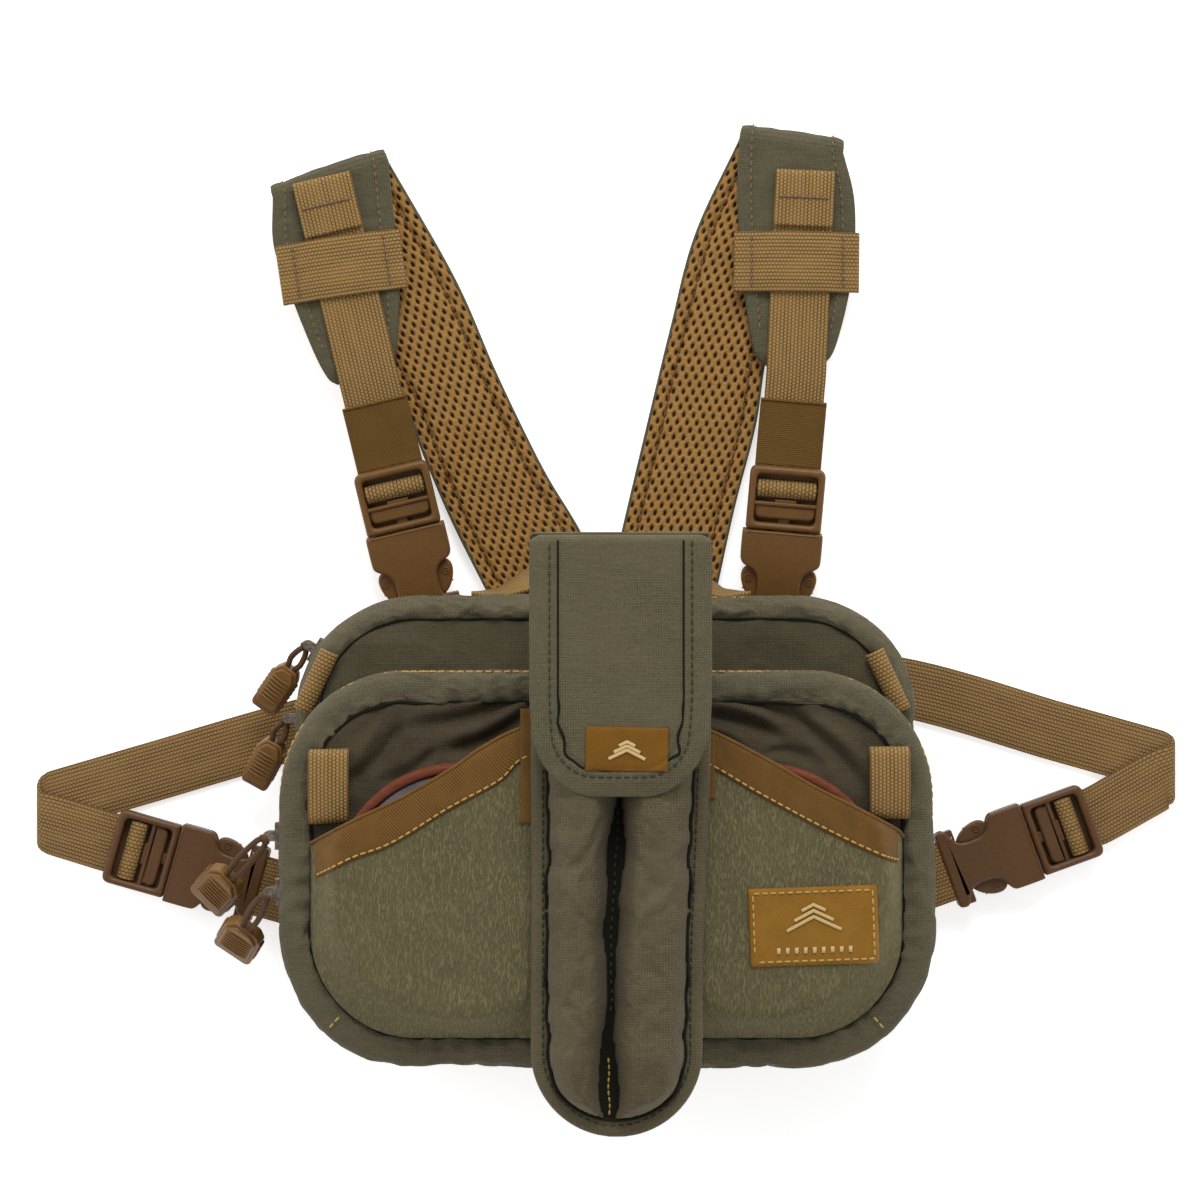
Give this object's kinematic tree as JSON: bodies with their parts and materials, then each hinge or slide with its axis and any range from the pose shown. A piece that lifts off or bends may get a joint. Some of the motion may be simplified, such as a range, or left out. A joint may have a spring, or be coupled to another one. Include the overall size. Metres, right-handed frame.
{
  "type": "chest harness pack",
  "caption": "Padded chest pack on folding shoulder and side straps, with two zipped compartments, two call pockets, a twin pouch with a flap and side-release buckles.",
  "frame": {"origin": "centre of the bounding box at the ground the pack lies on", "axes": "+X to the right seen from the front, +Y from the pack to the shoulder pads, +Z away from the chest, out of the front panel"},
  "size_m": [0.4878, 0.4179, 0.1214],
  "materials": {
    "olive_fabric": "matte woven nylon",
    "stretch_fabric": "matte stretch weave",
    "webbing": "ribbed webbing",
    "elastic": "knitted elastic",
    "zip_tape": "zip tape",
    "label": "woven label",
    "buckle_plastic": "fine moulded grain",
    "pull_plastic": "moulded grain",
    "slider_metal": "satin",
    "call_wood": "oiled",
    "slate": "honed"
  },
  "bodies": {
    "pack": {"back_panel": "olive_fabric", "rear_shell": "olive_fabric", "rear_zip_lower": "zip_tape", "shoulder_pad_left": "olive_fabric", "shoulder_pad_right": "olive_fabric", "yoke": "olive_fabric", "shoulder_webbing": "webbing", "keeper_bands": "webbing", "elastic_sleeves": "elastic", "side_strap_left": "webbing", "side_strap_right": "webbing", "buckle_tabs": "webbing", "grab_handle": "webbing", "female_top_left": "buckle_plastic", "female_top_right": "buckle_plastic", "female_side_left": "buckle_plastic", "female_side_right": "buckle_plastic"},
    "rear_lid": {"rear_lid": "olive_fabric", "rear_zip_upper": "zip_tape", "front_tray": "olive_fabric", "front_zip_lower": "zip_tape", "rear_loops": "webbing"},
    "front_lid": {"front_lid": "olive_fabric", "front_zip_upper": "zip_tape", "pocket_left": "stretch_fabric", "pocket_right": "stretch_fabric", "pocket_bindings": "elastic", "front_loops": "webbing", "pocket_label": "label", "pouch_patch": "webbing", "pouch_back": "olive_fabric", "pouch_tubes": "olive_fabric"},
    "flap": {"flap": "olive_fabric", "flap_label": "label"},
    "call_left": {"call_left": "call_wood", "slate_left": "slate"},
    "call_right": {"call_right": "call_wood", "slate_right": "slate"},
    "male_top_left": {"male_top_left": "buckle_plastic"},
    "prong_top_left_a": {"prong_top_left_a": "buckle_plastic"},
    "prong_top_left_b": {"prong_top_left_b": "buckle_plastic"},
    "male_top_right": {"male_top_right": "buckle_plastic"},
    "prong_top_right_a": {"prong_top_right_a": "buckle_plastic"},
    "prong_top_right_b": {"prong_top_right_b": "buckle_plastic"},
    "male_side_left": {"male_side_left": "buckle_plastic"},
    "prong_side_left_a": {"prong_side_left_a": "buckle_plastic"},
    "prong_side_left_b": {"prong_side_left_b": "buckle_plastic"},
    "male_side_right": {"male_side_right": "buckle_plastic"},
    "prong_side_right_a": {"prong_side_right_a": "buckle_plastic"},
    "prong_side_right_b": {"prong_side_right_b": "buckle_plastic"},
    "slider_rear_upper": {"slider_rear_upper": "slider_metal"},
    "pull_rear_upper": {"pull_rear_upper": "pull_plastic"},
    "slider_rear_lower": {"slider_rear_lower": "slider_metal"},
    "pull_rear_lower": {"pull_rear_lower": "pull_plastic"},
    "slider_front_upper": {"slider_front_upper": "slider_metal"},
    "pull_front_upper": {"pull_front_upper": "pull_plastic"},
    "slider_front_lower": {"slider_front_lower": "slider_metal"},
    "pull_front_lower": {"pull_front_lower": "pull_plastic"}
  },
  "joints": [
    {"name": "rear_lid_hinge", "type": "hinge", "parent": "pack", "child": "rear_lid", "pos_m": [0, -0.184, 0.0312], "axis": [1, 0, 0], "range_deg": [0, 55]},
    {"name": "front_lid_hinge", "type": "hinge", "parent": "rear_lid", "child": "front_lid", "pos_m": [0, -0.184, 0.0642], "axis": [1, 0, 0], "range_deg": [0, 60]},
    {"name": "flap_hinge", "type": "hinge", "parent": "front_lid", "child": "flap", "pos_m": [0, 0.0322, 0.096], "axis": [-1, 0, 0], "range_deg": [0, 110]},
    {"name": "call_left_slide", "type": "slide", "parent": "front_lid", "child": "call_left", "axis": [0.2588, 0.9659, 0], "range_m": [0, 0.035]},
    {"name": "call_right_slide", "type": "slide", "parent": "front_lid", "child": "call_right", "axis": [-0.2588, 0.9659, 0], "range_m": [0, 0.035]},
    {"name": "male_top_left_slide", "type": "slide", "parent": "pack", "child": "male_top_left", "axis": [-0.2278, 0.9637, 0.1392], "range_m": [0, 0.028]},
    {"name": "prong_top_left_a_hinge", "type": "hinge", "parent": "male_top_left", "child": "prong_top_left_a", "pos_m": [-0.0772, 0.03416, 0.01031], "axis": [-0.032, 0.1354, -0.9903], "range_deg": [0, 6], "stiffness_Nm_per_rad": 0.3},
    {"name": "prong_top_left_b_hinge", "type": "hinge", "parent": "male_top_left", "child": "prong_top_left_b", "pos_m": [-0.09277, 0.03048, 0.01031], "axis": [0.032, -0.1354, 0.9903], "range_deg": [0, 6], "stiffness_Nm_per_rad": 0.3},
    {"name": "male_top_right_slide", "type": "slide", "parent": "pack", "child": "male_top_right", "axis": [0.0829, 0.9868, 0.1392], "range_m": [0, 0.028]},
    {"name": "prong_top_right_a_hinge", "type": "hinge", "parent": "male_top_right", "child": "prong_top_right_a", "pos_m": [0.08292, 0.03094, 0.01031], "axis": [0.0116, 0.1387, -0.9903], "range_deg": [0, 6], "stiffness_Nm_per_rad": 0.3},
    {"name": "prong_top_right_b_hinge", "type": "hinge", "parent": "male_top_right", "child": "prong_top_right_b", "pos_m": [0.06698, 0.03228, 0.01031], "axis": [-0.0116, -0.1387, 0.9903], "range_deg": [0, 6], "stiffness_Nm_per_rad": 0.3},
    {"name": "male_side_left_slide", "type": "slide", "parent": "pack", "child": "male_side_left", "axis": [-0.9627, 0.2706, 0], "range_m": [0, 0.028]},
    {"name": "prong_side_left_a_hinge", "type": "hinge", "parent": "male_side_left", "child": "prong_side_left_a", "pos_m": [-0.17898, -0.09913, 0.0088], "axis": [0, 0, -1], "range_deg": [0, 6], "stiffness_Nm_per_rad": 0.3},
    {"name": "prong_side_left_b_hinge", "type": "hinge", "parent": "male_side_left", "child": "prong_side_left_b", "pos_m": [-0.18331, -0.11454, 0.0088], "axis": [0, 0, 1], "range_deg": [0, 6], "stiffness_Nm_per_rad": 0.3},
    {"name": "male_side_right_slide", "type": "slide", "parent": "pack", "child": "male_side_right", "axis": [0.9397, 0.342, 0], "range_m": [0, 0.028]},
    {"name": "prong_side_right_a_hinge", "type": "hinge", "parent": "male_side_right", "child": "prong_side_right_a", "pos_m": [0.18079, -0.10555, 0.0088], "axis": [0, 0, -1], "range_deg": [0, 6], "stiffness_Nm_per_rad": 0.3},
    {"name": "prong_side_right_b_hinge", "type": "hinge", "parent": "male_side_right", "child": "prong_side_right_b", "pos_m": [0.17532, -0.09052, 0.0088], "axis": [0, 0, 1], "range_deg": [0, 6], "stiffness_Nm_per_rad": 0.3},
    {"name": "slider_rear_upper_turn", "type": "hinge", "parent": "pack", "child": "slider_rear_upper", "pos_m": [-0.079, -0.042, 0.0312], "axis": [0, 0, -1], "range_deg": [0, 35]},
    {"name": "slider_rear_lower_slide", "type": "slide", "parent": "pack", "child": "slider_rear_lower", "axis": [0, -1, 0], "range_m": [0, 0.08]},
    {"name": "slider_front_upper_slide", "type": "slide", "parent": "rear_lid", "child": "slider_front_upper", "axis": [0, 1, 0], "range_m": [0, 0.016]},
    {"name": "slider_front_lower_slide", "type": "slide", "parent": "rear_lid", "child": "slider_front_lower", "axis": [0, -1, 0], "range_m": [0, 0.014]},
    {"name": "pull_rear_upper_hinge", "type": "hinge", "parent": "slider_rear_upper", "child": "pull_rear_upper", "pos_m": [-0.12522, -0.01312, 0.0312], "axis": [0, 0, 1], "range_deg": [-60, 0]},
    {"name": "pull_rear_lower_hinge", "type": "hinge", "parent": "slider_rear_lower", "child": "pull_rear_lower", "pos_m": [-0.1335, -0.044, 0.0312], "axis": [0, 0, 1], "range_deg": [-10, 15]},
    {"name": "pull_front_upper_hinge", "type": "hinge", "parent": "slider_front_upper", "child": "pull_front_upper", "pos_m": [-0.1385, -0.091, 0.0642], "axis": [0, 0, 1], "range_deg": [-60, 0]},
    {"name": "pull_front_lower_hinge", "type": "hinge", "parent": "slider_front_lower", "child": "pull_front_lower", "pos_m": [-0.1385, -0.114, 0.0642], "axis": [0, 0, 1], "range_deg": [0, 25]}
  ],
  "couplings": [
    {"joint": "prong_top_left_b_hinge", "follows": "prong_top_left_a_hinge", "ratio": 1},
    {"joint": "prong_top_right_b_hinge", "follows": "prong_top_right_a_hinge", "ratio": 1},
    {"joint": "prong_side_left_b_hinge", "follows": "prong_side_left_a_hinge", "ratio": 1},
    {"joint": "prong_side_right_b_hinge", "follows": "prong_side_right_a_hinge", "ratio": 1}
  ]
}
